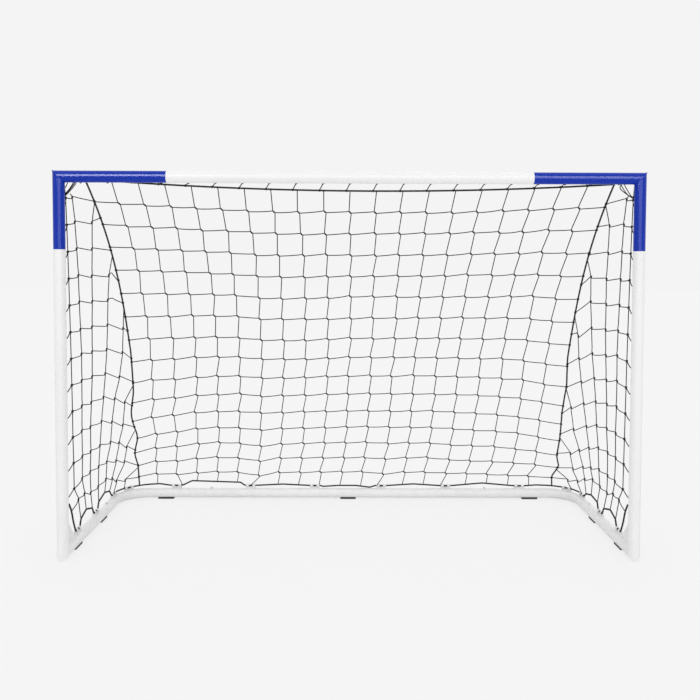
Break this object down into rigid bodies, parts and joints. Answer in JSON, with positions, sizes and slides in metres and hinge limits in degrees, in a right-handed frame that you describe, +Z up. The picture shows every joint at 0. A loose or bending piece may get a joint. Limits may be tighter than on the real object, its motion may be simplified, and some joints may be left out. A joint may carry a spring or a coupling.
{
  "type": "junior football goal",
  "caption": "Junior football goal: round plug-together tube frame with mitred corners, ground frame on rubber feet and a knotted square-mesh net.",
  "frame": {"origin": "on the floor under the middle of the goal's outer box", "axes": "+X to the right seen from the pitch, +Y from the mouth into the goal, +Z up; the mouth faces -Y"},
  "size_m": [1.8, 0.718, 1.194],
  "materials": {
    "white_paint": "satin white powder coat",
    "blue_paint": "gloss royal blue powder coat",
    "foot_rubber": "matt black rubber",
    "button_zinc": "zinc-plated steel",
    "spring_steel": "bare spring steel",
    "white_plastic": "satin white plastic",
    "net_thread": "black polyethylene thread",
    "border_rope": "black polyethylene rope"
  },
  "bodies": {
    "goal_frame": {"crossbar": "white_paint", "post_left": "white_paint", "post_right": "white_paint", "rear_bar": "white_paint", "top_corner_left": "blue_paint", "top_corner_right": "blue_paint", "lower_corner_left": "white_paint", "lower_corner_right": "white_paint", "rear_bend_left": "white_paint", "rear_bend_right": "white_paint", "gusset_left": "white_paint", "gusset_right": "white_paint", "foot_rear_left": "foot_rubber", "foot_rear_middle": "foot_rubber", "foot_rear_right": "foot_rubber", "foot_left_front": "foot_rubber", "foot_left_back": "foot_rubber", "foot_right_front": "foot_rubber", "foot_right_back": "foot_rubber", "button_spring_crossbar_left": "spring_steel", "button_spring_crossbar_right": "spring_steel", "button_spring_upper_post_left": "spring_steel", "button_spring_upper_post_right": "spring_steel", "button_spring_lower_post_left": "spring_steel", "button_spring_lower_post_right": "spring_steel", "button_spring_side_left": "spring_steel", "button_spring_side_right": "spring_steel", "button_spring_rear_left": "spring_steel", "button_spring_rear_right": "spring_steel", "net_clips_left": "white_plastic", "net_clips_right": "white_plastic", "net_clips_rear": "white_plastic", "net_studs_crossbar": "white_plastic", "net_studs_left": "white_plastic", "net_studs_right": "white_plastic", "net_back": "net_thread", "net_side_left": "net_thread", "net_side_right": "net_thread", "rope_top": "border_rope", "rope_seam_left": "border_rope", "rope_seam_right": "border_rope", "rope_ground": "border_rope", "net_ties_crossbar": "net_thread", "net_ties_left": "net_thread", "net_ties_right": "net_thread"},
    "button_body_crossbar_left": {"button_crossbar_left": "button_zinc"},
    "button_body_crossbar_right": {"button_crossbar_right": "button_zinc"},
    "button_body_upper_post_left": {"button_upper_post_left": "button_zinc"},
    "button_body_upper_post_right": {"button_upper_post_right": "button_zinc"},
    "button_body_lower_post_left": {"button_lower_post_left": "button_zinc"},
    "button_body_lower_post_right": {"button_lower_post_right": "button_zinc"},
    "button_body_side_left": {"button_side_left": "button_zinc"},
    "button_body_side_right": {"button_side_right": "button_zinc"},
    "button_body_rear_left": {"button_rear_left": "button_zinc"},
    "button_body_rear_right": {"button_rear_right": "button_zinc"}
  },
  "joints": [
    {"name": "press_crossbar_left", "type": "slide", "parent": "goal_frame", "child": "button_body_crossbar_left", "axis": [0, -1, 0], "range_m": [0, 0.0063], "stiffness_N_per_m": 800, "springref_m": -0.002, "deforming": ["button_spring_crossbar_left"]},
    {"name": "press_crossbar_right", "type": "slide", "parent": "goal_frame", "child": "button_body_crossbar_right", "axis": [0, -1, 0], "range_m": [0, 0.0063], "stiffness_N_per_m": 800, "springref_m": -0.002, "deforming": ["button_spring_crossbar_right"]},
    {"name": "press_upper_post_left", "type": "slide", "parent": "goal_frame", "child": "button_body_upper_post_left", "axis": [0, -1, 0], "range_m": [0, 0.0063], "stiffness_N_per_m": 800, "springref_m": -0.002, "deforming": ["button_spring_upper_post_left"]},
    {"name": "press_upper_post_right", "type": "slide", "parent": "goal_frame", "child": "button_body_upper_post_right", "axis": [0, -1, 0], "range_m": [0, 0.0063], "stiffness_N_per_m": 800, "springref_m": -0.002, "deforming": ["button_spring_upper_post_right"]},
    {"name": "press_lower_post_left", "type": "slide", "parent": "goal_frame", "child": "button_body_lower_post_left", "axis": [0, -1, 0], "range_m": [0, 0.0063], "stiffness_N_per_m": 800, "springref_m": -0.002, "deforming": ["button_spring_lower_post_left"]},
    {"name": "press_lower_post_right", "type": "slide", "parent": "goal_frame", "child": "button_body_lower_post_right", "axis": [0, -1, 0], "range_m": [0, 0.0063], "stiffness_N_per_m": 800, "springref_m": -0.002, "deforming": ["button_spring_lower_post_right"]},
    {"name": "press_side_left", "type": "slide", "parent": "goal_frame", "child": "button_body_side_left", "axis": [0, 0, -1], "range_m": [0, 0.0063], "stiffness_N_per_m": 800, "springref_m": -0.002, "deforming": ["button_spring_side_left"]},
    {"name": "press_side_right", "type": "slide", "parent": "goal_frame", "child": "button_body_side_right", "axis": [0, 0, -1], "range_m": [0, 0.0063], "stiffness_N_per_m": 800, "springref_m": -0.002, "deforming": ["button_spring_side_right"]},
    {"name": "press_rear_left", "type": "slide", "parent": "goal_frame", "child": "button_body_rear_left", "axis": [0, 0, -1], "range_m": [0, 0.0063], "stiffness_N_per_m": 800, "springref_m": -0.002, "deforming": ["button_spring_rear_left"]},
    {"name": "press_rear_right", "type": "slide", "parent": "goal_frame", "child": "button_body_rear_right", "axis": [0, 0, -1], "range_m": [0, 0.0063], "stiffness_N_per_m": 800, "springref_m": -0.002, "deforming": ["button_spring_rear_right"]}
  ]
}
